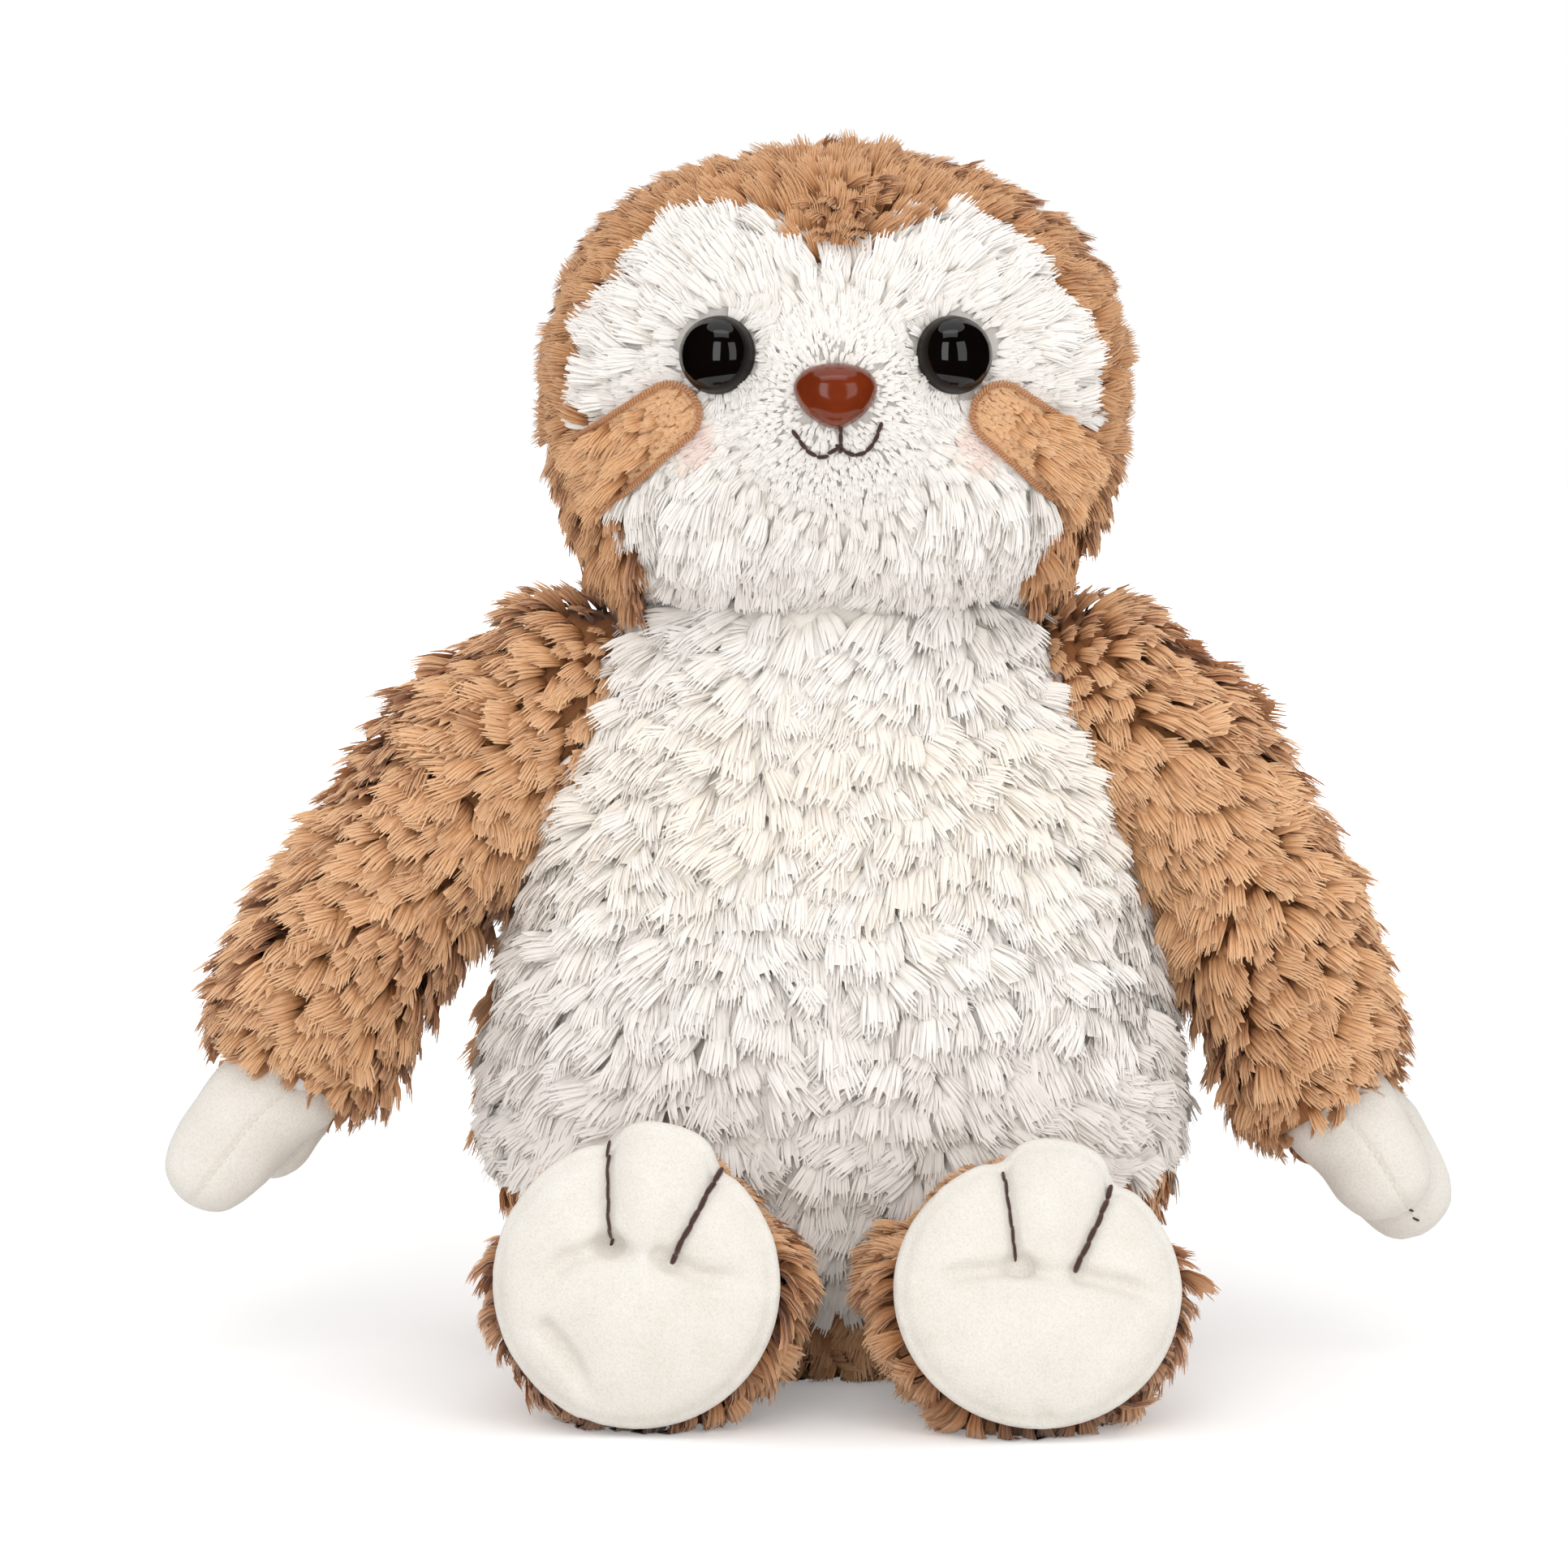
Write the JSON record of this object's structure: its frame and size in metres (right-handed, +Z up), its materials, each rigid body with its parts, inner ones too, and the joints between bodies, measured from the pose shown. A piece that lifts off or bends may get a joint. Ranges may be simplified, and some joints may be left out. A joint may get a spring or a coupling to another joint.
{
  "type": "plush sloth",
  "caption": "Seated plush sloth in tan and white fur with plastic eyes and nose, long arms with ivory mitts, and short legs with round three-toed soles.",
  "frame": {"origin": "middle of the flat seat that the toy sits on", "axes": "+Z up, -Y the way the face looks, +X the toy's own left side"},
  "size_m": [0.2697, 0.155, 0.251],
  "materials": {
    "white_fur": "long-pile plush",
    "tan_fur": "long-pile plush",
    "ivory_velour": "short-pile velour",
    "fibre_fill": "loose polyester fibre",
    "pouch_cloth": "woven cotton",
    "tan_felt": "short pile with a satin-stitched edge",
    "brown_thread": "embroidery floss",
    "black_plastic": "polished",
    "brown_plastic": "polished",
    "clear_nylon": "as moulded"
  },
  "bodies": {
    "torso": {"belly_panel": "white_fur", "back_panel": "tan_fur", "torso_stuffing": "fibre_fill", "seat_pellet_pouch": "pouch_cloth"},
    "neck": {"neck_wad": "fibre_fill"},
    "head": {"face_panel": "white_fur", "head_back_panel": "tan_fur", "head_stuffing": "fibre_fill", "left_eye": "black_plastic", "left_eye_washer": "clear_nylon", "right_eye": "black_plastic", "right_eye_washer": "clear_nylon", "nose": "brown_plastic", "nose_washer": "clear_nylon", "mouth_stitches": "brown_thread", "left_eye_patch": "tan_felt", "right_eye_patch": "tan_felt"},
    "left_arm": {"left_arm_sleeve": "tan_fur", "left_arm_stuffing": "fibre_fill"},
    "left_hand": {"left_mitt": "ivory_velour"},
    "right_arm": {"right_arm_sleeve": "tan_fur", "right_arm_stuffing": "fibre_fill"},
    "right_hand": {"right_mitt": "ivory_velour"},
    "left_leg": {"left_leg_sleeve": "tan_fur", "left_leg_stuffing": "fibre_fill", "left_sole": "ivory_velour", "left_toe_line_left": "brown_thread", "left_toe_line_right": "brown_thread"},
    "right_leg": {"right_leg_sleeve": "tan_fur", "right_leg_stuffing": "fibre_fill", "right_sole": "ivory_velour", "right_toe_line_left": "brown_thread", "right_toe_line_right": "brown_thread"}
  },
  "joints": [
    {"name": "neck_nod", "type": "hinge", "parent": "torso", "child": "neck", "pos_m": [0, 0, 0.164], "axis": [1, 0, 0], "range_deg": [-6, 7], "stiffness_Nm_per_rad": 3},
    {"name": "head_turn", "type": "hinge", "parent": "neck", "child": "head", "pos_m": [0, 0, 0.164], "axis": [0, 0, 1], "range_deg": [-35, 35], "stiffness_Nm_per_rad": 0.8},
    {"name": "left_shoulder", "type": "hinge", "parent": "torso", "child": "left_arm", "pos_m": [0.05, 0, 0.14], "axis": [0, -1, 0], "range_deg": [0, 58], "stiffness_Nm_per_rad": 0.4},
    {"name": "right_shoulder", "type": "hinge", "parent": "torso", "child": "right_arm", "pos_m": [-0.05, 0, 0.14], "axis": [0, 1, 0], "range_deg": [0, 52], "stiffness_Nm_per_rad": 0.4},
    {"name": "left_wrist", "type": "hinge", "parent": "left_arm", "child": "left_hand", "pos_m": [0.10392, -0.00711, 0.05371], "axis": [-0.037, -0.9976, 0.0592], "range_deg": [-12, 12], "stiffness_Nm_per_rad": 0.1},
    {"name": "right_wrist", "type": "hinge", "parent": "right_arm", "child": "right_hand", "pos_m": [-0.11264, -0.00711, 0.05982], "axis": [-0.0429, 0.9976, -0.055], "range_deg": [-12, 12], "stiffness_Nm_per_rad": 0.1},
    {"name": "left_hip", "type": "hinge", "parent": "torso", "child": "left_leg", "pos_m": [0.033, -0.042, 0.027], "axis": [0.9914, 0.1305, 0], "range_deg": [-14, 25], "stiffness_Nm_per_rad": 0.6},
    {"name": "right_hip", "type": "hinge", "parent": "torso", "child": "right_leg", "pos_m": [-0.033, -0.042, 0.027], "axis": [0.9914, -0.1305, 0], "range_deg": [-14, 25], "stiffness_Nm_per_rad": 0.6}
  ]
}
